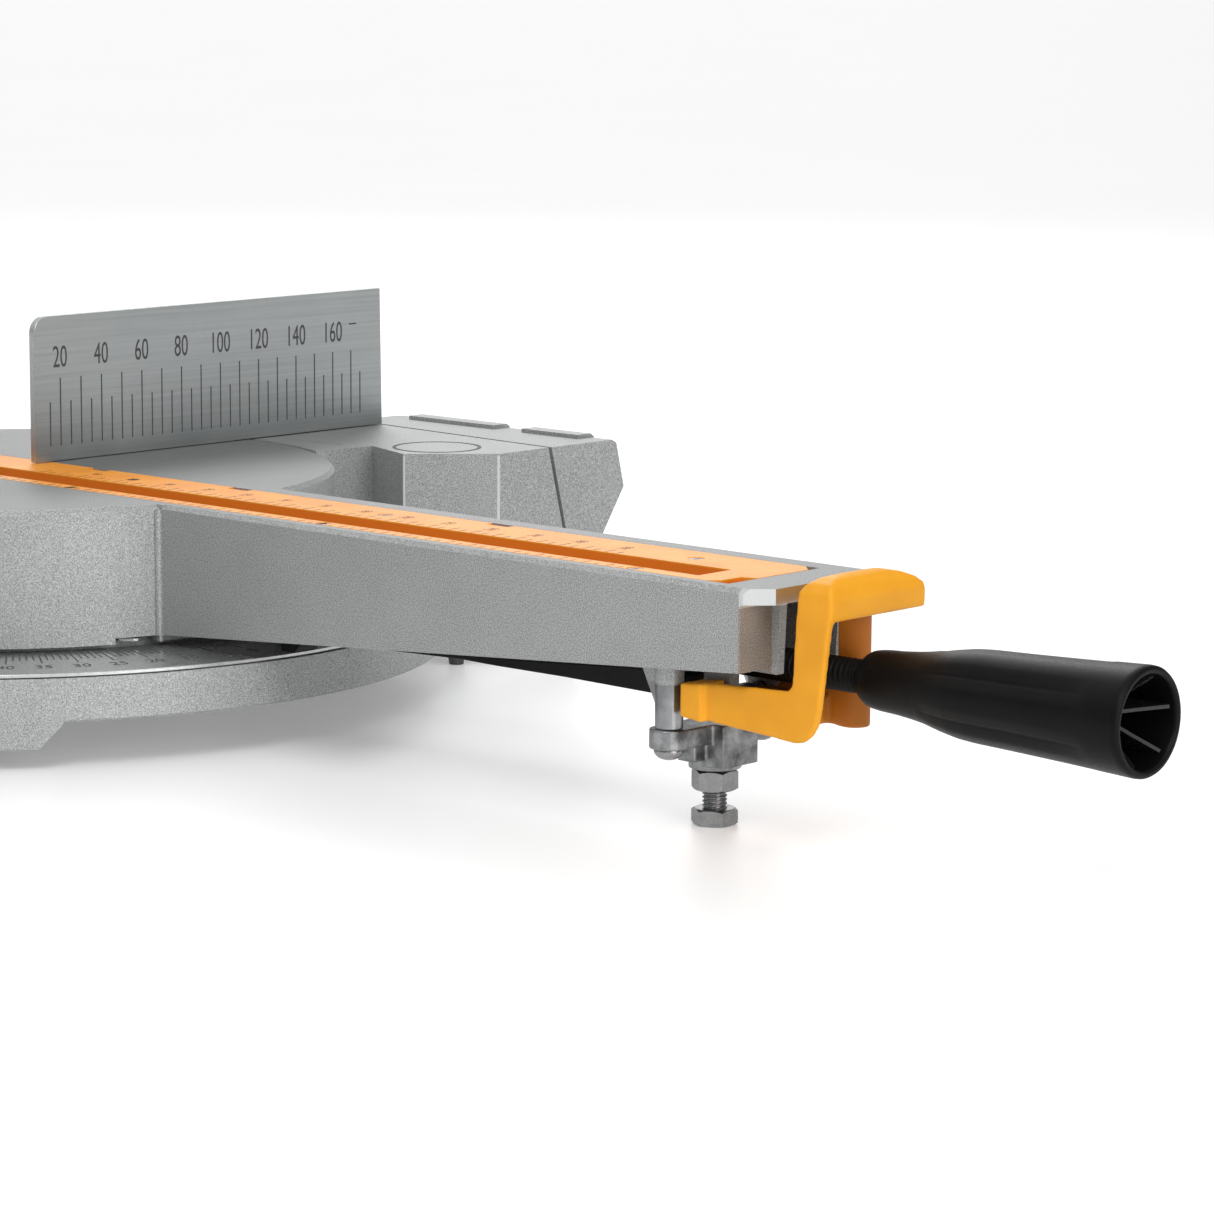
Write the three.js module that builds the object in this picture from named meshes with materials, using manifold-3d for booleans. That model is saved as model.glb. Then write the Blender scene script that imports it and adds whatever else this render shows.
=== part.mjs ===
import * as THREE from 'three';
import { mergeVertices } from 'three/addons/utils/BufferGeometryUtils.js';
import Module from 'manifold-3d';

// Mitre saw base with a rotary table. Millimetres, +Z up.
// The origin is on the swivel axis, at the level of the table top. The arm points along -Y.

// Levels
const FLOOR = -82;
const RING_TOP = -49.3;
const RING_BOTTOM = -66;
const SKIRT_BOTTOM = -74.8;
const GAP = 0.3;

// Rotary table
const DISC_R = 120;
const DRUM_BOTTOM = -47.7;
const TABLE_T = 6;
const ARM_HALF = 29.1;
const ARM_END = -380;
const FLANGE_END = -388;
const ARM_WALL = 4.6;
const SPLIT_Y = -120.4;
const HUB_R = 24;

// Base
const RING_R = 161;
const RING_WALL = 5;
const DECK_T = 5;
const BOLT_R = 8;
const WING_REAR = 17;
const WING_FRONT = -101.5;
const WING_WALL = 5;

// Fence
const FENCE_X0 = 11.5;
const FENCE_X1 = 190;
const FENCE_TOP = 54.5;
const FENCE_FACE = -1.6;
const FENCE_T = 3;

// Kerf plate
const PLATE_X0 = -23.8;
const PLATE_X1 = 19.3;
const SLOT_X0 = -17.9;
const SLOT_X1 = -2.4;
const SLOT_FRONT = -353.5;
const PLATE_T = 4;
const PLATE_REAR = 92;

// Lock screw and handle
const ROD_Z = -27.6;
const ROD_R = 5.4;
const HANDLE_Y0 = -405.7;
const HANDLE_Y1 = -509;

// Levelling foot
const FOOT_Y = -345.6;
const POST_X = 22;

const wasm = await Module();
wasm.setup();
const { Manifold, Mesh } = wasm;

function solid(geometry) {
  let g = geometry.clone();
  g.deleteAttribute('normal');
  g.deleteAttribute('uv');
  g = mergeVertices(g, 1e-4);
  const verts = new Float32Array(g.attributes.position.array);
  const tris = new Uint32Array(g.index.array);
  return new Manifold(new Mesh({ numProp: 3, vertProperties: verts, triVerts: tris }));
}

function toGeometry(body) {
  const mesh = body.getMesh();
  const step = mesh.numProp;
  const count = mesh.vertProperties.length / step;
  const pos = new Float32Array(count * 3);
  for (let i = 0; i < count; i += 1) {
    pos[3 * i] = mesh.vertProperties[step * i];
    pos[3 * i + 1] = mesh.vertProperties[step * i + 1];
    pos[3 * i + 2] = mesh.vertProperties[step * i + 2];
  }
  const g = new THREE.BufferGeometry();
  g.setAttribute('position', new THREE.BufferAttribute(pos, 3));
  g.setIndex(new THREE.BufferAttribute(new Uint32Array(mesh.triVerts), 1));
  const flat = g.toNonIndexed();
  flat.computeVertexNormals();
  return flat;
}

function box(x0, x1, y0, y1, z0, z1) {
  const g = new THREE.BoxGeometry(x1 - x0, y1 - y0, z1 - z0);
  g.translate((x0 + x1) / 2, (y0 + y1) / 2, (z0 + z1) / 2);
  return solid(g);
}

// A polygon in X and Y, raised along Z.
function prism(points, z0, z1) {
  const shape = new THREE.Shape(points.map((p) => new THREE.Vector2(p[0], p[1])));
  const g = new THREE.ExtrudeGeometry(shape, { depth: z1 - z0, bevelEnabled: false, steps: 1 });
  g.translate(0, 0, z0);
  return solid(g);
}

// A polygon in Y and Z, carried along X.
function prismX(points, x0, x1) {
  const shape = new THREE.Shape(points.map((p) => new THREE.Vector2(p[0], p[1])));
  const g = new THREE.ExtrudeGeometry(shape, { depth: x1 - x0, bevelEnabled: false, steps: 1 });
  g.applyMatrix4(new THREE.Matrix4().set(0, 0, 1, x0, 1, 0, 0, 0, 0, 1, 0, 0, 0, 0, 0, 1));
  return solid(g);
}

// A polygon in X and Z, carried along Y.
function prismY(points, y0, y1) {
  const shape = new THREE.Shape(points.map((p) => new THREE.Vector2(p[0], p[1])));
  const g = new THREE.ExtrudeGeometry(shape, { depth: y1 - y0, bevelEnabled: false, steps: 1 });
  g.applyMatrix4(new THREE.Matrix4().set(1, 0, 0, 0, 0, 0, -1, y1, 0, 1, 0, 0, 0, 0, 0, 1));
  return solid(g);
}

// A closed profile of radius and height turned about Z.
function turned(profile, segments) {
  const pts = profile.map((p) => new THREE.Vector2(p[0], p[1]));
  const last = profile[profile.length - 1];
  if (profile[0][0] > 0 || last[0] > 0) {
    pts.push(new THREE.Vector2(profile[0][0], profile[0][1]));
  }
  const g = new THREE.LatheGeometry(pts, segments);
  g.rotateX(Math.PI / 2);
  return solid(g);
}

function cylZ(x, y, r, z0, z1, segments) {
  const g = new THREE.CylinderGeometry(r, r, z1 - z0, segments);
  g.rotateX(Math.PI / 2);
  g.translate(x, y, (z0 + z1) / 2);
  return solid(g);
}

function coneZ(x, y, rLow, rHigh, z0, z1, segments) {
  const g = new THREE.CylinderGeometry(rHigh, rLow, z1 - z0, segments);
  g.rotateX(Math.PI / 2);
  g.translate(x, y, (z0 + z1) / 2);
  return solid(g);
}

function cylY(x, z, r, y0, y1, segments) {
  const g = new THREE.CylinderGeometry(r, r, y1 - y0, segments);
  g.translate(x, (y0 + y1) / 2, z);
  return solid(g);
}

function cylX(y, z, r, x0, x1, segments) {
  const g = new THREE.CylinderGeometry(r, r, x1 - x0, segments);
  g.rotateZ(Math.PI / 2);
  g.translate((x0 + x1) / 2, y, z);
  return solid(g);
}

function add(list) {
  return list.reduce((a, b) => Manifold.union(a, b));
}

function cut(body, list) {
  return list.reduce((a, b) => a.subtract(b), body);
}

function mirrored(body) {
  return body.mirror([1, 0, 0]);
}

// Points of an arc about the origin. Angles in degrees from +X.
function arc(r, from, to, steps) {
  const out = [];
  for (let i = 0; i <= steps; i += 1) {
    const a = THREE.MathUtils.degToRad(from + (to - from) * i / steps);
    out.push([r * Math.cos(a), r * Math.sin(a)]);
  }
  return out;
}

function ringSector(r0, r1, from, to, steps, z0, z1) {
  const outer = arc(r1, from, to, steps);
  const inner = arc(r0, to, from, steps);
  return prism(outer.concat(inner), z0, z1);
}

function screwHead(x, y, z0, r, height) {
  const head = coneZ(x, y, r, r * 0.72, z0, z0 + height, 20);
  const slotA = box(x - r * 0.5, x + r * 0.5, y - 0.5, y + 0.5, z0 + height * 0.45, z0 + height + 1);
  const slotB = box(x - 0.5, x + 0.5, y - r * 0.5, y + r * 0.5, z0 + height * 0.45, z0 + height + 1);
  return cut(head, [slotA, slotB]);
}

const group = new THREE.Group();
group.name = 'mitre_saw_base';

function place(name, body, color, metalness, roughness) {
  const material = new THREE.MeshStandardMaterial({ color, metalness, roughness });
  const mesh = new THREE.Mesh(toGeometry(body), material);
  mesh.name = name;
  group.add(mesh);
}

const PAINT = [0x969b9b, 0.25, 0.55];
const STEEL = [0xb9bcbd, 0.9, 0.35];
const ZINC = [0xa9adb0, 0.9, 0.3];
const YELLOW = [0xe9a328, 0.0, 0.45];
const BLACK = [0x191919, 0.0, 0.55];
const RUBBER = [0x202020, 0.0, 0.9];

// ---------------------------------------------------------------- wings
// Outline of the right wing seen from above, out to the joint with its end piece.
const arcStart = THREE.MathUtils.radToDeg(Math.asin(WING_REAR / (DISC_R + 1.2)));
const arcStop = -22.4;

function wingOutline(inset) {
  const inner = arc(DISC_R + 1.2 + inset, arcStart - inset * 0.45, arcStop + inset * 0.45, 14);
  const rear = WING_REAR - inset;
  const front = WING_FRONT + inset;
  const k = inset * 0.414;
  const pts = [];
  pts.push([inner[0][0], rear]);
  inner.slice(1, -1).forEach((p) => pts.push(p));
  pts.push([inner[14][0], inner[14][1] + inset * 0.2]);
  pts.push([138.6 + inset, -50.1 + inset]);
  pts.push([129.5 + inset * 1.1, -75.9 + k * 0.2]);
  pts.push([155.5 + k, front]);
  pts.push([235, front]);
  pts.push([235, rear]);
  return pts;
}

// The joint between wing and end piece is a leaning plane.
function endCut(offset) {
  const a = 191.7 + offset;
  const shape = [];
  const far = 400;
  const geometry = new THREE.BufferGeometry();
  const ys = [-200, 200];
  const zs = [-120, 20];
  ys.forEach((y) => {
    zs.forEach((z) => {
      shape.push(a + 0.077 * y - 0.257 * z, y, z);
      shape.push(far, y, z);
    });
  });
  geometry.setAttribute('position', new THREE.Float32BufferAttribute(shape, 3));
  const ends = [0, 1, 3, 0, 3, 2, 4, 6, 7, 4, 7, 5];
  const flats = [0, 4, 5, 0, 5, 1, 2, 3, 7, 2, 7, 6];
  const sides = [0, 2, 6, 0, 6, 4, 1, 5, 7, 1, 7, 3];
  geometry.setIndex([...ends, ...flats, ...sides]);
  return solid(geometry);
}

const wingBlock = prism(wingOutline(0), SKIRT_BOTTOM, 0);
const wingHollow = prism(wingOutline(WING_WALL), SKIRT_BOTTOM - 5, -WING_WALL);
const joint = endCut(-0.9);
const jointInner = endCut(0.6);
const closing = endCut(-3.4);
const insetBlock = prism(wingOutline(2.2), SKIRT_BOTTOM + 6, -2.2);

let wing = cut(wingBlock, [wingHollow, joint]);
const wall = Manifold.intersection(cut(insetBlock, [jointInner]), closing);
wing = Manifold.union(wing, wall);

const wingTrim = prismY([
  [0, 5], [240, 5], [225.6, -19], [213.7, -36.5], [203.5, -51.5], [197, SKIRT_BOTTOM], [0, SKIRT_BOTTOM],
], -110, 30);
wing = Manifold.intersection(wing, wingTrim);

// Bosses inside the wing for the fence bolts.
const FENCE_BOLTS = [145, 176];
const bosses = FENCE_BOLTS.map((x) => cylZ(x, 8.8, 7.5, -22, -1, 20));
wing = add([wing, ...bosses]);
wing = cut(wing, FENCE_BOLTS.map((x) => cylZ(x, 8.8, 3.3, -23, 1, 16)));

// Foot bosses.
const FOOT_FRONT = [147, -87];
const FOOT_REAR = [92, 112];
const footBoss = coneZ(FOOT_FRONT[0], FOOT_FRONT[1], 8, 9, SKIRT_BOTTOM, -40, 20);
wing = add([wing, Manifold.intersection(footBoss, wingBlock)]);

// ---------------------------------------------------------------- ring
// The rim drops to foot level on the left, at the end of a short 45 degree ramp.
const DROP_DEG = 33.2;
function skirtDrop() {
  const low = ringSector(RING_R - RING_WALL, RING_R, -152, -90 - DROP_DEG, 14, SKIRT_BOTTOM, RING_BOTTOM + 1);
  const ramp = prismY([
    [0.5, RING_BOTTOM], [-8.3, SKIRT_BOTTOM - 0.1], [-8.3, -80], [30, -80], [30, RING_BOTTOM],
  ], -180, -140);
  return low.subtract(ramp.rotate([0, 0, -DROP_DEG]));
}

const deckProfile = [
  [0, RING_TOP - DECK_T - 1.2], [RING_R - RING_WALL, RING_TOP - DECK_T - 1.2],
  [RING_R - RING_WALL, RING_BOTTOM],
  [RING_R - 0.8, RING_BOTTOM], [RING_R, RING_BOTTOM + 0.8], [RING_R, RING_TOP - 1.8],
  [RING_R - 1.2, RING_TOP - 0.4], [RING_R - 1.6, RING_TOP - 0.4], [RING_R - 1.6, RING_TOP - 1.6],
  [0, RING_TOP - 1.6],
];
let ring = turned(deckProfile, 120);
const hub = cylZ(0, 0, HUB_R, RING_BOTTOM, RING_TOP - 1.7, 40);
const ribs = [];
for (let i = 0; i < 8; i += 1) {
  const rib = box(HUB_R - 2, RING_R - RING_WALL + 1, -2, 2, RING_BOTTOM + 2, RING_TOP - DECK_T);
  ribs.push(rib.rotate([0, 0, 22.5 + 45 * i]));
}
ring = add([ring, hub, ...ribs, skirtDrop()]);

// Wear band that carries the rotary table.
const band = turned([[96, RING_TOP - 2], [112, RING_TOP - 2], [112, -48], [96, -48]], 96);
const thrust = cylZ(0, 0, HUB_R, RING_TOP - 2, -49.3, 40);
ring = add([ring, band, thrust]);

// The wings stand outside the disc and meet the ring deck.
const rearFeet = [1, -1].map((s) => {
  return coneZ(s * FOOT_REAR[0], FOOT_REAR[1], 8, 9, SKIRT_BOTTOM, RING_TOP - 3, 20);
});
const leftWing = mirrored(wing);
let base = add([ring, wing, leftWing, ...rearFeet]);
const clear = turned([[0, -48.4], [DISC_R + 0.9, -48.4], [DISC_R + 0.9, 2], [0, 2]], 120);
const bandKeep = turned([[96, -48.5], [112, -48.5], [112, -48], [96, -48]], 96);
base = Manifold.union(base.subtract(clear), bandKeep);

// Clearance for the arm between the wings, and the seat of the scale.
const SCALE_HALF = 54;
const seat = ringSector(DISC_R - 5, RING_R + 2, -90 - SCALE_HALF, -90 + SCALE_HALF, 40, RING_TOP - 1.6, -10);
base = base.subtract(seat);
base = base.subtract(cylZ(0, 0, BOLT_R + 0.3, RING_BOTTOM - 1, RING_TOP + 5, 32));
const padPins = [];
[1, -1].forEach((s) => {
  padPins.push(cylZ(s * FOOT_FRONT[0], FOOT_FRONT[1], 2.3, SKIRT_BOTTOM - 1, SKIRT_BOTTOM + 6.4, 16));
  padPins.push(cylZ(s * FOOT_REAR[0], FOOT_REAR[1], 2.3, SKIRT_BOTTOM - 1, SKIRT_BOTTOM + 6.4, 16));
});
base = cut(base, padPins);
place('base_casting', base, ...PAINT);

// ---------------------------------------------------------------- wing ends
const endProfile = [
  [150, 0], [219.5, 0], [222, -1.4], [226.5, -19], [214.6, -36.5], [203, -SKIRT_BOTTOM * -0.8], [150, -60],
];
const endCore = [
  [150, -4.5], [217.5, -4.5], [221.6, -19], [209.5, -36.5], [199, -58], [198, -61], [150, -61],
];
let wingEnd = prismY(endProfile, WING_FRONT, WING_REAR);
wingEnd = wingEnd.subtract(prismY(endCore, WING_FRONT + 4.5, WING_REAR - 4.5));
const rearCorner = prism([[214, WING_REAR + 1], [240, WING_REAR + 1], [240, -1]], -80, 5);
wingEnd = Manifold.intersection(wingEnd, endCut(0.9)).subtract(rearCorner);
// Low raised pads along the outer edge.
const lipProfile = [[212, -1], [212, 1.5], [219.6, 1.5], [221.4, 0.3], [222.4, -3], [218, -3]];
wingEnd = add([wingEnd, prismY(lipProfile, -44, 4), prismY(lipProfile, -90, -59.5)]);
place('wing_end_right', wingEnd, ...PAINT);
place('wing_end_left', mirrored(wingEnd), ...PAINT);

// ---------------------------------------------------------------- feet
function footPad(x, y) {
  const tip = coneZ(x, y, 2.8, 3.4, FLOOR, -78, 24);
  const collar = coneZ(x, y, 4.2, 5.6, -78.2, SKIRT_BOTTOM - GAP, 24);
  const pin = cylZ(x, y, 2, SKIRT_BOTTOM - 1, SKIRT_BOTTOM + 6, 16);
  return add([tip, collar, pin]);
}
place('foot_pad_front_right', footPad(FOOT_FRONT[0], FOOT_FRONT[1]), ...RUBBER);
place('foot_pad_front_left', footPad(-FOOT_FRONT[0], FOOT_FRONT[1]), ...RUBBER);
place('foot_pad_rear_right', footPad(FOOT_REAR[0], FOOT_REAR[1]), ...RUBBER);
place('foot_pad_rear_left', footPad(-FOOT_REAR[0], FOOT_REAR[1]), ...RUBBER);

// ---------------------------------------------------------------- mitre scale
const scale = ringSector(DISC_R - 4, RING_R - 0.5, -90 - SCALE_HALF + 0.4, -90 + SCALE_HALF - 0.4, 54,
  RING_TOP - 1.3, RING_TOP);
const scaleHoles = [-50, 50].map((a) => {
  const t = THREE.MathUtils.degToRad(-90 + a);
  return [152 * Math.cos(t), 152 * Math.sin(t)];
});
const scaleCut = scaleHoles.map((p) => cylZ(p[0], p[1], 2.4, RING_TOP - 2, RING_TOP + 1, 16));
place('mitre_scale', cut(scale, scaleCut), ...STEEL);

// ---------------------------------------------------------------- fences
function fenceBody() {
  const r = 6;
  const pts = [[FENCE_X0, 0.4], [FENCE_X1 + 1, 0.4], [FENCE_X1, FENCE_TOP + 0.7]];
  for (let i = 0; i <= 6; i += 1) {
    const a = Math.PI / 2 + Math.PI / 2 * i / 6;
    pts.push([FENCE_X0 + r + r * Math.cos(a), FENCE_TOP - r + r * Math.sin(a)]);
  }
  const plate = prismY(pts, FENCE_FACE, FENCE_FACE + FENCE_T);
  const foot = box(128, FENCE_X1, FENCE_FACE + 1, WING_REAR - 1, 0.4, 4);
  const gusset = prismX([[1, 3.5], [14, 3.5], [1, 34]], 158, 161);
  const rib = box(FENCE_X0 + 14, 129, FENCE_FACE + 1, 9, 1.2, 5);
  const holes = FENCE_BOLTS.map((x) => cylZ(x, 8.8, 3.4, -1, 6, 16));
  return cut(add([plate, foot, gusset, rib]), holes);
}
const fence = fenceBody();
place('fence_right', fence, ...STEEL);
place('fence_left', mirrored(fence), ...STEEL);

function hexHead(x, y, z0, height, acrossFlats) {
  const g = new THREE.CylinderGeometry(acrossFlats / 1.732, acrossFlats / 1.732, height, 6);
  g.rotateX(Math.PI / 2);
  g.translate(x, y, z0 + height / 2);
  return solid(g);
}
function fenceBolt(x) {
  return add([hexHead(x, 8.8, 4.3, 4, 10), cylZ(x, 8.8, 3, -20, 4.5, 16)]);
}
FENCE_BOLTS.forEach((x, i) => {
  place(`fence_bolt_right_${i + 1}`, fenceBolt(x), ...ZINC);
  place(`fence_bolt_left_${i + 1}`, mirrored(fenceBolt(x)), ...ZINC);
});

// ---------------------------------------------------------------- rotary table
function armBottom(y) {
  return -49.87 + 0.0745 * (-60 - y);
}
const drumOuter = turned([
  [0, DRUM_BOTTOM], [DISC_R, DRUM_BOTTOM], [DISC_R, -1.5], [DISC_R - 1.5, 0], [0, 0],
], 120);
const drumInner = turned([[0, -60], [DISC_R - 5, -60], [DISC_R - 5, -TABLE_T], [0, -TABLE_T]], 120);
let table = drumOuter.subtract(drumInner);

const sideL = prismX([
  [ARM_END, -0.5], [118, -0.5], [118, DRUM_BOTTOM + 0.2], [-112, DRUM_BOTTOM + 0.2],
  [-119, armBottom(-119)], [ARM_END, armBottom(ARM_END)],
], -ARM_HALF, -ARM_HALF + ARM_WALL);
const topPlan = [
  [-ARM_HALF, -100], [-ARM_HALF, FLANGE_END + 7], [-ARM_HALF + 7, FLANGE_END],
  [ARM_HALF - 7, FLANGE_END], [ARM_HALF, FLANGE_END + 7], [ARM_HALF, -100],
];
const top = prism(topPlan, -5, 0);
const plateBed = box(PLATE_X0 - 3, PLATE_X1 + 3, -372, 96, -9, -3);
table = add([table, sideL, mirrored(sideL), top, plateBed]);

// Front end walls beside the opening for the lock screw.
const endWall = prismX([
  [ARM_END, -3], [ARM_END + 4, -3], [ARM_END + 4, armBottom(ARM_END) + 0.4], [ARM_END, armBottom(ARM_END)],
], -ARM_HALF + 1, -15.5);
const endRib = prismX([
  [ARM_END - 4.6, -3], [-330, -3], [-330, armBottom(-330) + 2], [ARM_END - 3.4, armBottom(ARM_END) - 1.6],
], -15.6, -12.4);
table = add([table, endWall, endRib, mirrored(endWall), mirrored(endRib)]);

// Hub, its web and the rear head seat.
const hubTop = cylZ(0, 0, HUB_R, -49, -26, 40);
const web = box(-ARM_HALF + 1, ARM_HALF - 1, -70, 70, -31, -25.5);
const seatBlock = prism([[-46, 100], [46, 100], [46, 140], [40, 146], [-40, 146], [-46, 140]], -42, -3);
const seatHollow = box(-40, 40, 90, 139, -50, -9);
const seatShell = seatBlock.subtract(seatHollow);
table = add([table, hubTop, web, seatShell.subtract(drumInner)]);

// Cross ribs inside the arm.
const cross = [-210, -285].map((y) => {
  return cut(box(-ARM_HALF + 2, ARM_HALF - 2, y - 2, y + 2, armBottom(y) + 9, -4), [
    cylY(0, ROD_Z, ROD_R + 1.6, y - 5, y + 5, 24),
    box(-9, 9, y - 5, y + 5, -60, ROD_Z),
  ]);
});
table = add([table, ...cross]);

// Upright beads where the arm leaves the drum.
[-1, 1].forEach((s) => {
  table = table.add(cylZ(s * 29.5, -116.5, 1.5, DRUM_BOTTOM, -1.6, 16));
});

// Posts for the foot bracket, with their gussets.
[-1, 1].forEach((s) => {
  const post = coneZ(s * POST_X, FOOT_Y, 4.4, 4.9, -48, -4, 24);
  const gusset = prismX([[FOOT_Y + 3, -6], [FOOT_Y + 12, -6], [FOOT_Y + 10, -30], [FOOT_Y + 3, -44]],
    s * POST_X - 1.5, s * POST_X + 1.5);
  table = add([table, post, gusset]);
});

// Lugs for the lever pin.
const PIN_Y = -357;
const PIN_Z = -38.5;
[-1, 1].forEach((s) => {
  const x0 = s > 0 ? 8 : -12.6;
  const lug = prismX([
    [PIN_Y - 5, -4], [PIN_Y + 8, -4], [PIN_Y + 5, PIN_Z],
    [PIN_Y + 3, PIN_Z - 4], [PIN_Y - 3, PIN_Z - 4], [PIN_Y - 5, PIN_Z],
  ], x0, x0 + 4.6);
  table = table.add(lug);
});

// Boss for the detent spring.
const LEAF_X = -11;
const LEAF_Y = -338.5;
table = table.add(cylZ(LEAF_X, LEAF_Y, 4.6, -32.3, -4, 20));

// Guide for the lock screw near the front.
const guide = cut(box(-2.9, 13, -330, -318, -35.5, -4), [cylY(0, ROD_Z, ROD_R + GAP, -340, -310, 32)]);
table = table.add(guide);
const guideRear = cut(box(-25, 25, -132, SPLIT_Y - 0.5, -38, -4), [cylY(0, ROD_Z, ROD_R + GAP, -140, -100, 32)]);
table = table.add(guideRear);

// Recess for the kerf plate, the blade slot, holes and the notch for the pointer.
const recess = box(PLATE_X0 - GAP, PLATE_X1 + GAP, -371, PLATE_REAR + GAP, -PLATE_T - GAP, 2);
const slotTop = box(SLOT_X0 - 0.8, SLOT_X1 + 0.8, -356, 84, -23, 2);
const edge = prismY([
  [-ARM_HALF - 1, -1.5], [-ARM_HALF, -1.5], [-ARM_HALF + 1.5, 0], [-ARM_HALF + 1.5, 1], [-ARM_HALF - 1, 1],
], -400, -118.5);
table = cut(table, [recess, slotTop, edge, mirrored(edge)]);
table = table.subtract(cylZ(0, 0, BOLT_R + 0.3, -60, -26.5, 32));
table = table.subtract(cylZ(LEAF_X, LEAF_Y, 1.8, -40, -25, 12));
table = table.subtract(cylX(PIN_Y, PIN_Z, 2.8, -26, 26, 20));
const POINTER_DEG = -108.3;
const notch = ringSector(DISC_R - 8, DISC_R + 2, -112, -104.5, 6, DRUM_BOTTOM - 1, -45.6);
table = table.subtract(notch);
[-1, 1].forEach((s) => {
  table = table.subtract(cylZ(s * POST_X, FOOT_Y, 2.2, -50, -36, 16));
});

// Screws that hold the kerf plate.
const PLATE_SCREWS = [
  [-20.9, -60], [-20.9, -190], [-20.9, -330], [8, -60], [8, -190], [8, -330],
];
table = cut(table, PLATE_SCREWS.map((p) => cylZ(p[0], p[1], 1.6, -14, 0, 12)));

// One casting on the real saw, in two nodes here: the drum with the head seat, and the arm.
const drumHalf = table.intersect(box(-200, 200, SPLIT_Y, 200, -90, 10));
const armHalf = table.intersect(box(-60, 60, -420, SPLIT_Y - GAP, -90, 10));
place('rotary_table', drumHalf, ...PAINT);
place('table_arm', armHalf, ...PAINT);

// ---------------------------------------------------------------- kerf plate
const platePlan = [
  [PLATE_X0, PLATE_REAR], [PLATE_X0, -361.5], [PLATE_X0 + 3.5, -365], [-11.5, -365], [-9.5, -370.4],
  [14.5, -370.4], [PLATE_X1, -365.5], [PLATE_X1, PLATE_REAR],
];
let plate = prism(platePlan, -PLATE_T, 0);
plate = plate.subtract(box(SLOT_X0, SLOT_X1, SLOT_FRONT, 80, -10, 5));
[[-106.6, 5], [-234.7, 5], [-30, 5]].forEach((n) => {
  plate = plate.subtract(box(PLATE_X1 - 3.2, PLATE_X1 + 1, n[0] - n[1], n[0] + n[1], -10, 5));
});
function plateScrewSolid(p, grow) {
  const head = coneZ(p[0], p[1], 1.3 + grow, 2.5 + grow, -1.8 - grow, -0.2, 20);
  return head;
}
plate = cut(plate, PLATE_SCREWS.map((p) => cylZ(p[0], p[1], 1.7, -10, 1, 16)));
plate = cut(plate, PLATE_SCREWS.map((p) => coneZ(p[0], p[1], 1.5, 2.9, -2.2, 0.1, 20)));
place('kerf_plate', plate, ...YELLOW);
PLATE_SCREWS.forEach((p, i) => {
  const head = plateScrewSolid(p, 0);
  const shank = cylZ(p[0], p[1], 1.3, -12, -1.7, 12);
  const slot = box(p[0] - 1.6, p[0] + 1.6, p[1] - 0.3, p[1] + 0.3, -0.9, 1);
  place(`kerf_screw_${i + 1}`, add([head, shank]).subtract(slot), ...ZINC);
});

// ---------------------------------------------------------------- pivot
const pivotHead = add([
  hexHead(0, 0, RING_BOTTOM - 8.4, 6.4, 19), cylZ(0, 0, BOLT_R, RING_BOTTOM - 3, -27, 32),
]);
place('pivot_bolt', pivotHead, ...ZINC);
place('pivot_washer', cut(cylZ(0, 0, 14, RING_BOTTOM - 1.7, RING_BOTTOM - GAP, 32), [
  cylZ(0, 0, BOLT_R + 0.3, -80, -60, 32),
]), ...ZINC);

// ---------------------------------------------------------------- pointer
const pointerPlan = [[-5.5, 0], [5.5, 0], [5.5, -4.5], [0.8, -7.5], [-0.8, -7.5], [-5.5, -4.5]];
const pointer = prism(pointerPlan, -47.2, -46.1).translate([0, -112.2, 0]).rotate([0, 0, POINTER_DEG + 90]);
place('mitre_pointer', pointer, ...STEEL);

// ---------------------------------------------------------------- lock screw
const rodProfile = [[0, 0], [ROD_R - 0.9, 0], [ROD_R, 0.9]];
const threadLen = 34;
const rodLen = 238;
rodProfile.push([ROD_R, rodLen - threadLen]);
const turns = 16;
for (let i = 0; i < turns; i += 1) {
  const y0 = rodLen - threadLen + threadLen * i / turns;
  rodProfile.push([ROD_R - 0.7, y0 + threadLen / turns * 0.5]);
  rodProfile.push([ROD_R, y0 + threadLen / turns]);
}
rodProfile.push([ROD_R - 1, rodLen + 0.5]);
rodProfile.push([ROD_R - 1, rodLen + 28]);
rodProfile.push([0, rodLen + 28]);
let rod = turned(rodProfile, 28);
const ROD_FRONT = HANDLE_Y0 + 0.6;
rod = rod.rotate([90, 0, 0]).translate([0, ROD_FRONT + rodLen, ROD_Z]);
place('lock_rod', rod, ...BLACK);

const SHOE_Y = ROD_FRONT + rodLen + GAP;
const shoe = Manifold.union(
  box(-11, 11, SHOE_Y, SHOE_Y + 5.2, -39, ROD_Z + 4),
  box(1, 9, SHOE_Y, SHOE_Y + 5.2, -47.6, -38),
);
place('lock_shoe', shoe, ...ZINC);

// Handle: a tapered grip, open and ribbed at its end.
const grip = [
  [0, 0], [5.6, 0], [6.8, 0.8], [7.9, 2], [8.7, 3.5], [9.1, 5], [9.4, 8], [9.7, 14], [10.3, 20], [11, 25],
  [12.6, 32], [13.8, 38.6], [14.3, 45], [14.8, 60], [15.6, 80], [16.4, 97], [16.6, 101.5], [16.1, 103.3],
  [14.2, 103.3], [13.8, 99], [12.4, 56], [0, 56],
];
let handle = turned(grip, 40);
const flutes = [];
for (let i = 0; i < 6; i += 1) {
  const g = new THREE.CylinderGeometry(5, 5, 58, 16);
  g.rotateX(Math.PI / 2);
  g.rotateY(THREE.MathUtils.degToRad(1.8));
  g.translate(19.1, 0, 58);
  const flute = solid(g).rotate([0, 0, 60 * i + 28]);
  flutes.push(flute);
}
handle = cut(handle, flutes);
const core = turned([[0, 55], [3.2, 55], [3, 87], [0, 87]], 20);
const spokes = [];
for (let i = 0; i < 6; i += 1) {
  spokes.push(box(2.4, 15, -0.6, 0.6, 55, 98).rotate([0, 0, 60 * i + 12]));
}
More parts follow.
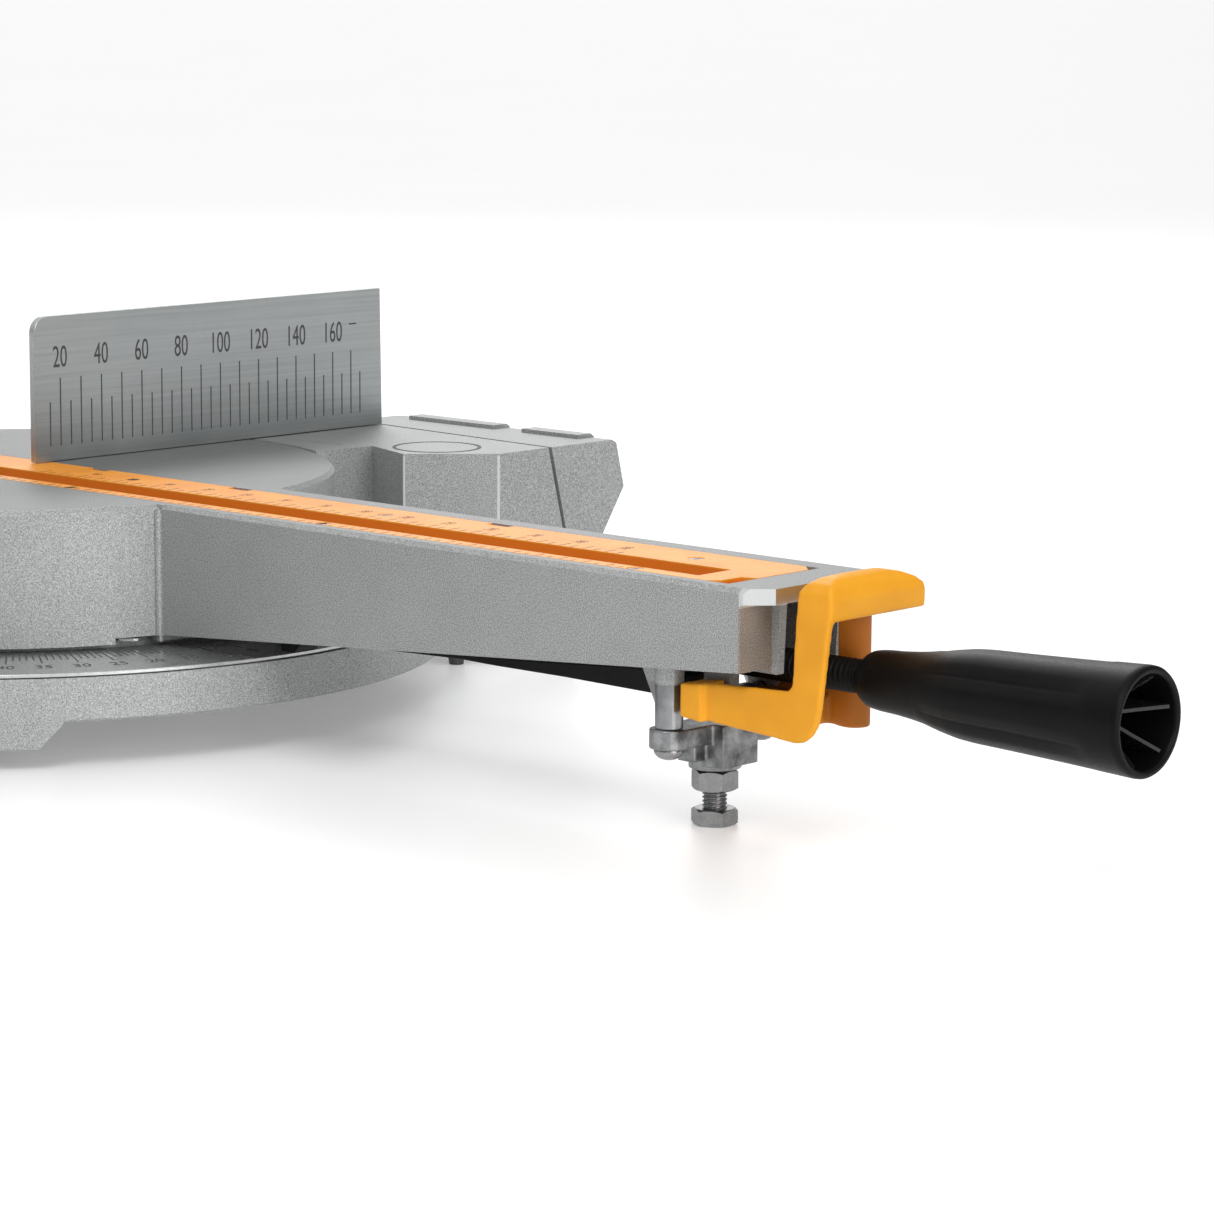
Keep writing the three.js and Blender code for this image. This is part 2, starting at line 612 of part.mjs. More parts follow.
const cup = turned([[0, 54], [13, 54], [15, 100], [0, 100]], 40);
handle = add([handle, core, ...spokes.map((s) => Manifold.intersection(s, cup))]);
handle = handle.subtract(cylZ(0, 0, ROD_R - 1 + GAP, -1, 30, 28));
handle = handle.rotate([90, 0, 0]).translate([0, HANDLE_Y0, ROD_Z]);
place('lock_handle', handle, ...BLACK);

// ---------------------------------------------------------------- detent lever
// A hood over a thin cheek on the left and a round-fronted column on the right of the rod.
const LEVER_HALF = 23;
const CHEEK_T = 2.6;
const HOOD_BOTTOM = -8;
const COLUMN = [11, -392.6];
const COLUMN_R = 4.8;
const side = [
  [-396.8, -4], [-397.2, 0], [-398.5, 2.2], [-401, 4.4], [-404, 5.5], [-407, 4.6], [-409.3, 2],
  [-410.3, -1.5],
  [-410.1, -7], [-409.4, -8.5], [-408.2, -17.5], [-406, -34.7], [-404.8, -40], [-402.8, -43.2],
  [-399.8, -45.5], [-396.4, -46.2], [-387, -45.4], [-372, -44.6], [-352.4, -43.2], [-352.4, -32.8],
  [-362, -32], [-393.5, -30.6], [-395.3, -28.5], [-396.3, -9.2],
];
const crown = [
  [-23, -60], [23, -60], [23, -2.5], [22, 0], [19, 1.9], [14, 3.7], [8, 4.9], [0, 5.5], [-10, 5.4],
  [-17, 4.7], [-21, 3], [-23, 0.2],
];
const leverFull = prismX(side, -LEVER_HALF, LEVER_HALF);
const under = box(-LEVER_HALF + CHEEK_T, 40, -420, -340, -60, HOOD_BOTTOM);
const lowZone = box(-40, 40, -420, -340, -60, -9);
const lowerWeb = box(-LEVER_HALF + 2, COLUMN[0] + COLUMN_R, -386, -340, -60, -36.4);
const farArm = box(COLUMN[0] - COLUMN_R, COLUMN[0] + COLUMN_R, COLUMN[1], -340, -60, -30);
let lever = Manifold.intersection(leverFull, prismY(crown, -420, -340)).subtract(under);
lever = add([
  lever,
  Manifold.intersection(leverFull, Manifold.union(lowerWeb, farArm)),
  cylZ(COLUMN[0], COLUMN[1], COLUMN_R, -45.8, -8.2, 32),
  box(COLUMN[0] - COLUMN_R, COLUMN[0] + COLUMN_R, COLUMN[1], -389, -45.3, -4),
  box(COLUMN[0] - COLUMN_R, COLUMN[0] + COLUMN_R, -399, -389, -8.5, -3.5),
]);
const heel = prismX([[-352.4, -33], [-361, -32.2], [-361, -44.2], [-352.4, -43.4]], -25, 25);
lever = lever.add(Manifold.intersection(heel, lowZone));
lever = cut(lever, [-1, 1].map((s) => {
  const x0 = s > 0 ? 7 : -13.6;
  return box(x0, x0 + 6.6, -365, -340, -60, -20);
}));
lever = cut(lever, [box(-9, 9, -366, -340, -36.4, -9), cylX(PIN_Y, PIN_Z, 2.8, -23.2, 23.2, 20)]);
place('detent_lever', lever, ...YELLOW);
place('lever_pin', cylX(PIN_Y, PIN_Z, 2.5, -22.8, 22.8, 20), ...ZINC);

// Sprung detent bar under the arm, with its tooth, and the screw it is held by.
const barPts = [
  [-346, -39.9], [-329, -39.8], [-295, -39.4], [-265, -39.6], [-249, -39.4], [-200, -41.2], [-174, -43.3],
  [-170, -47.2], [-163.5, -47.2], [-163.5, -41.4], [-176, -41], [-200, -39.2], [-249, -37.4], [-265, -37.2],
  [-295, -34.9], [-318, -33.1], [-329, -32.6], [-346, -32.6],
];
const leaf = prismX(barPts, LEAF_X - 5, LEAF_X + 5).subtract(cylZ(LEAF_X, LEAF_Y, 2.3, -50, -30, 16));
place('detent_spring', leaf, ...BLACK);
const leafHead = screwHead(0, 0, 0, 4.2, 2.6).rotate([180, 0, 0]).translate([LEAF_X, LEAF_Y, -40.2]);
place('detent_spring_screw', add([leafHead, cylZ(LEAF_X, LEAF_Y, 1.5, -40.5, -27, 12)]), ...ZINC);

// ---------------------------------------------------------------- levelling foot
const bracketTop = -48.3;
const bracketPlan = [];
[[1, -90, 90], [-1, 90, 270]].forEach((e) => {
  for (let i = 0; i <= 8; i += 1) {
    const a = THREE.MathUtils.degToRad(e[1] + (e[2] - e[1]) * i / 8);
    bracketPlan.push([e[0] * POST_X + 6.2 * Math.cos(a), FOOT_Y + 6.2 * Math.sin(a)]);
  }
});
const strap = prism(bracketPlan, bracketTop - 6.2, bracketTop);
const bossBody = cylZ(0, FOOT_Y, 8.4, -63.8, bracketTop, 28);
const bossFront = box(-8.4, 8.4, FOOT_Y - 10.5, FOOT_Y, -62, bracketTop);
const bossRib = box(-14, 14, FOOT_Y - 3.5, FOOT_Y + 3.5, -60, bracketTop - 2);
let bracket = add([strap, bossBody, bossFront, bossRib]);
bracket = cut(bracket, [
  cylZ(0, FOOT_Y, 4.3, -70, -40, 24),
  cylZ(POST_X, FOOT_Y, 2.4, -70, -40, 16),
  cylZ(-POST_X, FOOT_Y, 2.4, -70, -40, 16),
  box(-POST_X - 7, -POST_X + 7, FOOT_Y - 11, FOOT_Y + 7, -70, bracketTop - 6.2),
  box(POST_X - 7, POST_X + 7, FOOT_Y - 11, FOOT_Y + 7, -70, bracketTop - 6.2),
]);
place('foot_bracket', bracket, ...ZINC);

function panScrew(x, y) {
  const zTop = bracketTop - 6.2 - GAP;
  const head = screwHead(0, 0, 0, 4.6, 3.4).rotate([180, 0, 0]).translate([x, y, zTop]);
  const shank = cylZ(x, y, 1.9, zTop - 0.5, -38, 16);
  return Manifold.union(head, shank);
}
place('bracket_screw_left', panScrew(-POST_X, FOOT_Y), ...ZINC);
place('bracket_screw_right', panScrew(POST_X, FOOT_Y), ...ZINC);

const nut = cut(hexHead(0, FOOT_Y, -70.9, 6.6, 13), [cylZ(0, FOOT_Y, 4.3, -80, -50, 24)]);
place('lock_nut', nut, ...ZINC);

const boltProfile = [[0, 0], [4, 0]];
const boltLen = 27;
for (let i = 0; i < 10; i += 1) {
  boltProfile.push([3.45, 5 + i * 1.25 - 0.6]);
  boltProfile.push([4, 5 + i * 1.25]);
}
boltProfile.push([4, boltLen - 0.8]);
boltProfile.push([3.2, boltLen]);
boltProfile.push([0, boltLen]);
const boltShank = turned(boltProfile, 24).translate([0, FOOT_Y, FLOOR + 5]);
const bolt = add([hexHead(0, FOOT_Y, FLOOR, 5.3, 13), boltShank]);
place('levelling_bolt', bolt, ...ZINC);

export default group;
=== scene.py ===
import math

import bmesh
import bpy
from mathutils import Matrix, Vector


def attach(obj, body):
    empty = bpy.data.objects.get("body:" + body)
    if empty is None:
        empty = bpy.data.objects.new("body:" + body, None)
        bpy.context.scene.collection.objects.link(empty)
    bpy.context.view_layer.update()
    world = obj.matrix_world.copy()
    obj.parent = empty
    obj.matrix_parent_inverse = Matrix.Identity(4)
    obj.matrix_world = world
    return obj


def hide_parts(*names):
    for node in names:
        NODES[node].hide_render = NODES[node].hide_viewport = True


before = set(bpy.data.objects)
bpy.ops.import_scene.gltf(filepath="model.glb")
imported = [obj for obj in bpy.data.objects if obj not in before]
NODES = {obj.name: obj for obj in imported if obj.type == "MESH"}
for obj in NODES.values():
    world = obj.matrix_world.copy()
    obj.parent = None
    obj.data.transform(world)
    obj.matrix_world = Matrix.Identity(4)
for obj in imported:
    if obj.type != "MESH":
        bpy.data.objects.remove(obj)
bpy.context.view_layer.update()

MM = 0.001
scene = bpy.context.scene


# ------------------------------------------------------------------ materials
class Maker:
    """Builds one node material, with object coordinates in metres."""

    def __init__(self, name):
        self.mat = bpy.data.materials.new(name)
        self.mat.use_nodes = True
        self.nodes = self.mat.node_tree.nodes
        self.links = self.mat.node_tree.links
        self.bsdf = self.nodes["Principled BSDF"]
        self.coord = self.nodes.new("ShaderNodeTexCoord").outputs["Object"]

    def link(self, a, b):
        self.links.new(a, b)

    def mapping(self, scale):
        node = self.nodes.new("ShaderNodeMapping")
        node.inputs["Scale"].default_value = scale
        self.link(self.coord, node.inputs["Vector"])
        return node.outputs["Vector"]

    def noise(self, scale, detail=3.0, rough=0.55, stretch=None):
        node = self.nodes.new("ShaderNodeTexNoise")
        node.inputs["Scale"].default_value = scale
        node.inputs["Detail"].default_value = detail
        node.inputs["Roughness"].default_value = rough
        self.link(self.mapping(stretch) if stretch else self.coord, node.inputs["Vector"])
        return node.outputs["Fac"]

    def ramp(self, fac, stops):
        node = self.nodes.new("ShaderNodeValToRGB")
        els = node.color_ramp.elements
        while len(els) < len(stops):
            els.new(0.5)
        for el, (pos, col) in zip(els, stops):
            el.position = pos
            el.color = (*col, 1.0) if len(col) == 3 else col
        self.link(fac, node.inputs["Fac"])
        return node.outputs["Color"]

    def grey(self, fac, low, high, start=0.3, stop=0.7):
        node = self.nodes.new("ShaderNodeMapRange")
        node.inputs["From Min"].default_value = start
        node.inputs["From Max"].default_value = stop
        node.inputs["To Min"].default_value = low
        node.inputs["To Max"].default_value = high
        self.link(fac, node.inputs["Value"])
        return node.outputs["Result"]

    def mix(self, fac, a, b, kind="MIX"):
        node = self.nodes.new("ShaderNodeMix")
        node.data_type = "RGBA"
        node.blend_type = kind
        if isinstance(fac, float):
            node.inputs[0].default_value = fac
        else:
            self.link(fac, node.inputs[0])
        for sock, val in ((node.inputs[6], a), (node.inputs[7], b)):
            if isinstance(val, tuple):
                sock.default_value = (*val, 1.0)
            else:
                self.link(val, sock)
        return node.outputs[2]

    def bump(self, height, strength, distance, below=None):
        node = self.nodes.new("ShaderNodeBump")
        node.inputs["Strength"].default_value = strength
        node.inputs["Distance"].default_value = distance
        self.link(height, node.inputs["Height"])
        if below is not None:
            self.link(below, node.inputs["Normal"])
        return node.outputs["Normal"]

    def upward(self, low, high):
        """1 where the surface looks up, 0 where it looks sideways or down."""
        geo = self.nodes.new("ShaderNodeNewGeometry")
        split = self.nodes.new("ShaderNodeSeparateXYZ")
        self.link(geo.outputs["Normal"], split.inputs[0])
        return self.grey(split.outputs["Z"], 0.0, 1.0, low, high)

    def math(self, kind, a, b):
        node = self.nodes.new("ShaderNodeMath")
        node.operation = kind
        for sock, val in zip(node.inputs, (a, b)):
            if isinstance(val, float):
                sock.default_value = val
            else:
                self.link(val, sock)
        return node.outputs[0]

    def both(self, a, b):
        return self.math("MULTIPLY", a, b)

    def either(self, a, b):
        return self.math("MAXIMUM", a, b)

    def lerp(self, fac, a, b):
        node = self.nodes.new("ShaderNodeMix")
        self.link(fac, node.inputs[0])
        for sock, val in ((node.inputs[2], a), (node.inputs[3], b)):
            if isinstance(val, float):
                sock.default_value = val
            else:
                self.link(val, sock)
        return node.outputs[0]

    def band(self, axis, low, high, soft):
        """1 between two levels of an object coordinate, in metres, and 0 outside."""
        split = self.nodes.new("ShaderNodeSeparateXYZ")
        self.link(self.coord, split.inputs[0])
        value = split.outputs[axis]
        rise = self.grey(value, 0.0, 1.0, low - soft, low)
        fall = self.grey(value, 1.0, 0.0, high, high + soft)
        return self.math("MULTIPLY", rise, fall)

    def set(self, **values):
        for key, val in values.items():
            sock = self.bsdf.inputs[key.replace("_", " ")]
            if isinstance(val, bpy.types.NodeSocket):
                self.link(val, sock)
            else:
                sock.default_value = val
        return self.mat


def cast_paint(name="sand_textured_silver_paint", arm=False, lift=1.0, top=1.0, corners=()):
    m = Maker(name)
    grain = m.noise(2300.0, 2.0, 0.6)
    broad = m.noise(45.0, 4.0, 0.6)
    stops = [(0.30, (0.200, 0.206, 0.205)), (0.48, (0.345, 0.354, 0.352)),
             (0.58, (0.420, 0.430, 0.427)), (0.74, (0.620, 0.630, 0.627))]
    base = m.ramp(grain, [(at, tuple(c * lift for c in tint)) for at, tint in stops])
    tone = m.ramp(broad, [(0.3, (0.93, 0.93, 0.93)), (0.7, (1.0, 1.0, 1.0))])
    col = m.mix(1.0, base, tone, "MULTIPLY")
    # Painted shade: faces that look up are darkened by the factor top.
    if top < 1.0:
        col = m.mix(m.upward(0.85, 0.97), col, m.mix(1.0, col, (top, top, top), "MULTIPLY"))
    # Painted highlight: a lighter vertical line down each given wing corner.
    for x, y in corners:
        upright = m.both(m.band("Y", y - 0.0004, y + 0.0004, 0.0002), m.band("Z", -0.06, -0.0008, 0.0003))
        for at in (-x, x):
            wear_and_highlight = m.both(upright, m.band("X", at - 0.0004, at + 0.0004, 0.0002))
            col = m.mix(wear_and_highlight, col, (0.60, 0.61, 0.61))
    bump = m.bump(grain, 0.3, 0.00012)
    bump = m.bump(broad, 0.08, 0.0008, bump)
    rough = m.grey(grain, 0.58, 0.42)
    metal = 0.45
    if arm:
        lip = m.both(m.band("Y", -0.3884, -0.3795, 0.0002), m.band("Z", -0.006, 0.0002, 0.0003))
        lip = m.both(lip, m.upward(0.95, 0.75))
        posts = m.both(m.band("Y", -0.352, -0.336, 0.001), m.band("Z", -0.049, -0.0345, 0.001))
        bare = m.either(lip, posts)
        col = m.mix(lip, col, (0.60, 0.61, 0.615))
        col = m.mix(posts, col, m.ramp(broad, [(0.35, (0.20, 0.205, 0.21)), (0.65, (0.46, 0.47, 0.475))]))
        # Painted reflection: a warm tint from the yellow lever on the arm's end face.
        end = m.both(m.band("Y", -0.3812, -0.3794, 0.0002), m.band("Z", -0.03, -0.0056, 0.0002))
        col = m.mix(end, col, m.mix(1.0, col, (0.86, 0.70, 0.58), "MULTIPLY"))
        rough = m.lerp(bare, rough, 0.27)
        metal = m.lerp(bare, 0.45, 0.9)
    return m.set(Base_Color=col, Metallic=metal, Roughness=rough, Normal=bump)


def machined(name, tint, low=0.26, high=0.42, streak=(12.0, 900.0, 900.0)):
    m = Maker(name)
    lines = m.noise(1.0, 4.0, 0.6, stretch=streak)
    broad = m.noise(28.0, 5.0, 0.65)
    grain = m.noise(900.0, 2.0)
    base = m.ramp(lines, [(0.3, tuple(c * 0.82 for c in tint)), (0.7, tint)])
    tone = m.ramp(broad, [(0.3, (0.86, 0.87, 0.87)), (0.72, (1.0, 1.0, 1.0))])
    col = m.mix(1.0, base, tone, "MULTIPLY")
    bump = m.bump(lines, 0.18, 0.00006)
    bump = m.bump(grain, 0.1, 0.00004, bump)
    return m.set(Base_Color=col, Metallic=0.85, Roughness=m.grey(broad, low, high), Normal=bump)


def zinc(name="zinc_plating", tint=(0.34, 0.345, 0.35), rough=0.18):
    m = Maker(name)
    blot = m.noise(260.0, 4.0, 0.6)
    fine = m.noise(1500.0, 2.0)
    col = m.ramp(blot, [(0.3, tuple(c * 0.72 for c in tint)), (0.7, tint)])
    return m.set(Base_Color=col, Metallic=0.95, Roughness=m.grey(blot, rough, rough + 0.16),
                 Normal=m.bump(fine, 0.12, 0.00005))


def bare_cast():
    m = Maker("bare_cast_aluminium")
    fine = m.noise(1300.0, 3.0)
    broad = m.noise(160.0, 4.0)
    col = m.ramp(broad, [(0.35, (0.085, 0.088, 0.09)), (0.65, (0.34, 0.347, 0.352))])
    bump = m.bump(fine, 0.25, 0.0001)
    bump = m.bump(broad, 0.2, 0.0004, bump)
    return m.set(Base_Color=col, Metallic=0.85, Roughness=m.grey(fine, 0.26, 0.44), Normal=bump)


def plastic(name, dark, light, rough, grain_scale, strength, gloss=0.5):
    m = Maker(name)
    grain = m.noise(grain_scale, 2.0)
    broad = m.noise(60.0, 3.0)
    col = m.ramp(broad, [(0.3, dark), (0.7, light)])
    return m.set(Base_Color=col, Roughness=m.grey(grain, rough - 0.06, rough + 0.08),
                 Specular_IOR_Level=gloss, Normal=m.bump(grain, strength, 0.00007))


def plate_plastic():
    """Yellow on top and at the front end, with painted shade in a deeper orange down the walls of the blade
    slot.
    """
    m = Maker("yellow_plate")
    grain = m.noise(900.0, 2.0)
    broad = m.noise(60.0, 3.0)
    col = m.ramp(broad, [(0.3, (0.80, 0.27, 0.012)), (0.7, (0.90, 0.36, 0.03))])
    # Painted shade: deeper orange on the faces below the top, down the slot walls.
    wall = m.both(m.band("Z", -0.02, -0.0005, 0.0001), m.band("Y", -0.366, 0.09, 0.0005))
    col = m.mix(wall, col, (0.86, 0.200, 0.014))
    return m.set(Base_Color=col, Roughness=m.grey(grain, 0.36, 0.50), Specular_IOR_Level=0.35,
                 Normal=m.bump(grain, 0.12, 0.00007))


def lever_plastic():
    """Yellow, with painted shade in a darker orange-brown on the inner cheek and column behind the lock
    screw.
    """
    m = Maker("yellow_lever")
    grain = m.noise(1500.0, 2.0)
    broad = m.noise(60.0, 3.0)
    col = m.ramp(broad, [(0.3, (0.72, 0.300, 0.010)), (0.7, (0.80, 0.350, 0.014))])
    # Painted shade: darker orange-brown on the inner cheek and column.
    inner = m.both(m.band("X", 0.006, 0.013, 0.007), m.band("Z", -0.05, -0.009, 0.002))
    col = m.mix(inner, col, (0.42, 0.130, 0.008))
    return m.set(Base_Color=col, Roughness=m.grey(grain, 0.44, 0.58), Specular_IOR_Level=0.3,
                 Normal=m.bump(grain, 0.16, 0.00007))


# Ink marks; also makes the painted groove shade on the wing top.
def ink(name, colour, rough=0.6):
    m = Maker(name)
    wear_and_highlight = m.noise(700.0, 3.0)
    col = m.ramp(wear_and_highlight, [(0.35, colour), (0.7, tuple(min(1.0, c * 1.5 + 0.01) for c in colour))])
    return m.set(Base_Color=col, Roughness=m.grey(wear_and_highlight, rough, rough + 0.15))


# The factor top darkens up-facing faces of these cast paints as painted shade.
PAINT = cast_paint(top=0.82)
# Wing corners that get a painted highlight line in the base paint.
WING_CORNERS = ((0.1555, -0.1015), (0.1295, -0.0759))
BASE_PAINT = cast_paint("base_paint_with_painted_corner_highlights", top=0.82, corners=WING_CORNERS)
ARM_PAINT = cast_paint("arm_paint_with_bare_places", True, top=0.58)
# A lighter copy of the cast paint: a painted highlight on rounded edges.
EDGE_HIGHLIGHT_PAINT = cast_paint("painted_highlight_on_rounded_edges", False, 1.45)
FENCE = machined("machined_fence", (0.50, 0.52, 0.52))
SCALE = machined("polished_scale", (0.62, 0.63, 0.63), 0.2, 0.32, (400.0, 400.0, 400.0))
ZINC = zinc()
DARK_ZINC = zinc("dull_zinc", (0.10, 0.10, 0.105), 0.4)
CAST = bare_cast()
YELLOW_PLATE = plate_plastic()
YELLOW_LEVER = lever_plastic()
BLACK_STEEL = plastic("black_oxide_steel", (0.003, 0.003, 0.003), (0.006, 0.006, 0.006),
                      0.44, 900.0, 0.1, 0.14)
BLACK_GRIP = plastic("black_grip", (0.0022, 0.0022, 0.0023), (0.0038, 0.0038, 0.0040),
                     0.42, 1800.0, 0.2, 0.12)
WEB_BLACK = plastic("black_grip_inside", (0.010, 0.010, 0.010), (0.018, 0.018, 0.018), 0.25, 900.0, 0.05, 0.6)
GLOSSY_RUBBER = plastic("black_rubber", (0.012, 0.012, 0.012), (0.03, 0.03, 0.03), 0.22, 300.0, 0.1, 0.8)
INK = ink("engraved_mark", (0.045, 0.047, 0.05))
INK_SOFT = ink("plate_mark", (0.022, 0.012, 0.006))
# Painted shade: dark strips for the shade in the wing-top groove and beside the edge pads.
GROOVE_SHADE = ink("painted_groove_shade", (0.16, 0.165, 0.165))


# ------------------------------------------------------------------ helpers
def link_object(obj):
    scene.collection.objects.link(obj)
    return obj


def from_bmesh(name, bm, material, smooth=35.0):
    mesh = bpy.data.meshes.new(name)
    bm.normal_update()
    bm.to_mesh(mesh)
    bm.free()
    obj = link_object(bpy.data.objects.new(name, mesh))
    mesh.materials.append(material)
    shade(obj, smooth)
    return obj


def shade(obj, degrees):
    mesh = obj.data
    mesh.polygons.foreach_set("use_smooth", [True] * len(mesh.polygons))
    mesh.set_sharp_from_angle(angle=math.radians(degrees))


def tidy_faces(bm, weld):
    """Flat faces are joined up again, then those of many corners are cut into sound triangles."""
    bmesh.ops.remove_doubles(bm, verts=bm.verts, dist=weld)
    bmesh.ops.dissolve_limit(bm, angle_limit=math.radians(0.6), verts=bm.verts, edges=bm.edges,
                             delimit={"NORMAL"})
    bmesh.ops.triangulate(bm, faces=[f for f in bm.faces if len(f.verts) > 4])
    bm.normal_update()


def clean_copy(node, name):
    """A new mesh from a CAD node, with its flat faces joined up again."""
    bm = bmesh.new()
    bm.from_mesh(NODES[node].data)
    tidy_faces(bm, 2e-6)
    mesh = bpy.data.meshes.new(name)
    bm.to_mesh(mesh)
    bm.free()
    return link_object(bpy.data.objects.new(name, mesh))


def bevel(obj, width, segments=2, angle=28.0):
    mod = obj.modifiers.new("edges", "BEVEL")
    mod.width = width * MM
    mod.segments = segments
    mod.limit_method = "ANGLE"
    mod.angle_limit = math.radians(angle)
    mod.use_clamp_overlap = True
    mod.miter_outer = "MITER_ARC"
    mod.harden_normals = False
    return mod


def finish_edges(obj, material, width, segments=2, edge=None):
    """Rounded edges, with a painted highlight in a lighter colour where one is given."""
    obj.data.materials.clear()
    obj.data.materials.append(material)
    mod = bevel(obj, width, segments)
    if edge:
        obj.data.materials.append(edge)
        # The bevel faces take the second material, a painted highlight.
        mod.material = 1
    shade(obj, 32.0)
    normals = obj.modifiers.new("normals", "WEIGHTED_NORMAL")
    normals.keep_sharp = True


def dress(node, material, body, width, segments=2, edge=None):
    """A bevelled piece that stands for one CAD node."""
    obj = clean_copy(node, node + "_finished")
    finish_edges(obj, material, width, segments, edge)
    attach(obj, body)
    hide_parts(node)
    return obj


def cast_round(node, material, body, voxel, passes):
    """A piece with soft moulded edges that stands for one CAD node."""
    obj = clean_copy(node, node + "_finished")
    obj.data.materials.clear()
    obj.data.materials.append(material)
    skin = obj.modifiers.new("skin", "REMESH")
    skin.mode = "VOXEL"
    skin.voxel_size = voxel * MM
    skin.use_smooth_shade = True
    soft = obj.modifiers.new("soft", "SMOOTH")
    soft.factor = 0.5
    soft.iterations = passes
    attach(obj, body)
    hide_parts(node)
    return obj


def own(obj, body, slot, *replaced):
    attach(obj, body)
    if replaced:
        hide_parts(*replaced)
    return obj


def box_into(bm, x0, x1, y0, y1, z0, z1):
    pts = [(x, y, z) for x in (x0, x1) for y in (y0, y1) for z in (z0, z1)]
    vs = [bm.verts.new(Vector(p) * MM) for p in pts]
    for f in ((0, 1, 3, 2), (4, 6, 7, 5), (0, 4, 5, 1), (2, 3, 7, 6), (0, 2, 6, 4), (1, 5, 7, 3)):
        bm.faces.new([vs[i] for i in f])
    return vs


def lathe_grid(bm, rings, segments, radius, matrix):
    """Closed skin through rings of (station, along); radius(station, angle) gives the radius in mm."""
    rows = []
    for station, along in rings:
        row = []
        for i in range(segments):
            a = 2 * math.pi * i / segments
            r = radius(station, a)
            point = Vector((r * math.cos(a) * MM, r * math.sin(a) * MM, along * MM))
            row.append(bm.verts.new(matrix @ point))
        rows.append(row)
    for low, high in zip(rows, rows[1:]):
        for i in range(segments):
            j = (i + 1) % segments
            bm.faces.new((low[i], low[j], high[j], high[i]))
    return rows


def cap(bm, row, flip):
    bm.faces.new(list(reversed(row)) if flip else row)


def threaded(name, material, radius, pitch, depth, length, matrix, segments=36, tip=1.0, plain=0.0):
    """A screw thread about +Z from 0 to length, closed at both ends."""
    bm = bmesh.new()
    per = 10
    count = int(length / pitch * per)
    rings = []
    for k in range(count + 1):
        rings.append((k / count * length, k / count * length))

    def r_at(z, a):
        if z < plain:
            return radius
        t = (z / pitch - a / (2 * math.pi)) % 1.0
        tooth = 1.0 - abs(2 * t - 1.0)
        tooth = min(1.0, max(0.0, (tooth - 0.12) / 0.72))
        r = radius - depth * (1.0 - tooth)
        end = length - z
        if end < tip:
            r = min(r, radius - depth * 1.1 * (1.0 - end / tip))
        return r

    rows = lathe_grid(bm, rings, segments, r_at, matrix)
    cap(bm, rows[0], True)
    cap(bm, rows[-1], False)
    return from_bmesh(name, bm, material, 50.0)


def hexagon(name, material, flats, height, matrix, bore=0.0, both=True):
    """A hexagon head or nut with turned-off corners, about +Z from 0 to height."""
    bm = bmesh.new()
    corner = flats / math.sqrt(3.0)
    inner = flats / 2 * 0.955
    drop = (corner - inner) * math.tan(math.radians(28.0))
    seg = 72
    rows = []

    def hex_r(a):
        b = (a % (math.pi / 3)) - math.pi / 6
        return flats / 2 / math.cos(b)

    levels = []
    if both:
        levels += [("flat", 0.0), ("cone_low", 0.0)]
    else:
        levels += [("full", 0.0)]
    levels += [("cone_high", height), ("flat", height)]
    for kind, z in levels:
        row = []
        for i in range(seg):
            a = 2 * math.pi * i / seg
            r = hex_r(a)
            lift = max(0.0, (r - inner) / (corner - inner)) * drop
            if kind == "flat":
                p = (inner * math.cos(a), inner * math.sin(a), z)
            elif kind == "cone_low":
                p = (r * math.cos(a), r * math.sin(a), z + lift)
            elif kind == "cone_high":
                p = (r * math.cos(a), r * math.sin(a), z - lift)
            else:
                p = (r * math.cos(a), r * math.sin(a), z)
            row.append(bm.verts.new(matrix @ (Vector(p) * MM)))
        rows.append(row)
    for low, high in zip(rows, rows[1:]):
        for i in range(seg):
            j = (i + 1) % seg
            bm.faces.new((low[i], low[j], high[j], high[i]))
    if bore > 0:
        holes = []
        for row, z in ((rows[0], 0.0), (rows[-1], height)):
            dip = 0.7 if z == 0.0 else -0.7
            mouth = []
            wall = []
            for i in range(seg):
                a = 2 * math.pi * i / seg
                big = bore + 0.7
                outer = Vector((big * math.cos(a), big * math.sin(a), z)) * MM
                inner = Vector((bore * math.cos(a), bore * math.sin(a), z + dip)) * MM
                mouth.append(bm.verts.new(matrix @ outer))
                wall.append(bm.verts.new(matrix @ inner))
            holes.append((row, mouth, wall))
        for index, (row, mouth, wall) in enumerate(holes):
            for a_row, b_row in ((row, mouth), (mouth, wall)):
                for i in range(seg):
                    j = (i + 1) % seg
                    quad = (a_row[j], a_row[i], b_row[i], b_row[j])
                    bm.faces.new(quad if index == 0 else tuple(reversed(quad)))
        low, high = holes[0][2], holes[1][2]
        for i in range(seg):
            j = (i + 1) % seg
            bm.faces.new((low[j], low[i], high[i], high[j]))
    else:
        cap(bm, rows[0], True)
        cap(bm, rows[-1], False)
    return from_bmesh(name, bm, material, 25.0)


def join(name, objs):
    for o in bpy.context.selected_objects:
        o.select_set(False)
    for o in objs:
        o.select_set(True)
    bpy.context.view_layer.objects.active = objs[0]
    bpy.ops.object.join()
    objs[0].name = name
    objs[0].data.name = name
    objs[0].select_set(False)
    return objs[0]


def numeral_mesh(text, size, depth, matrix):
    """A raised number as a mesh, centred on its middle, laid out in X and Y."""
    curve = bpy.data.curves.new("numeral", "FONT")
    curve.body = text
    curve.size = size * MM
    curve.extrude = depth * MM
    curve.align_x = "CENTER"
    curve.align_y = "CENTER"
    curve.resolution_u = 4
    obj = link_object(bpy.data.objects.new("numeral", curve))
    bpy.context.view_layer.update()
    mesh = bpy.data.meshes.new_from_object(obj.evaluated_get(bpy.context.evaluated_depsgraph_get()))
    bpy.data.objects.remove(obj)
    mesh.transform(matrix)
    return mesh


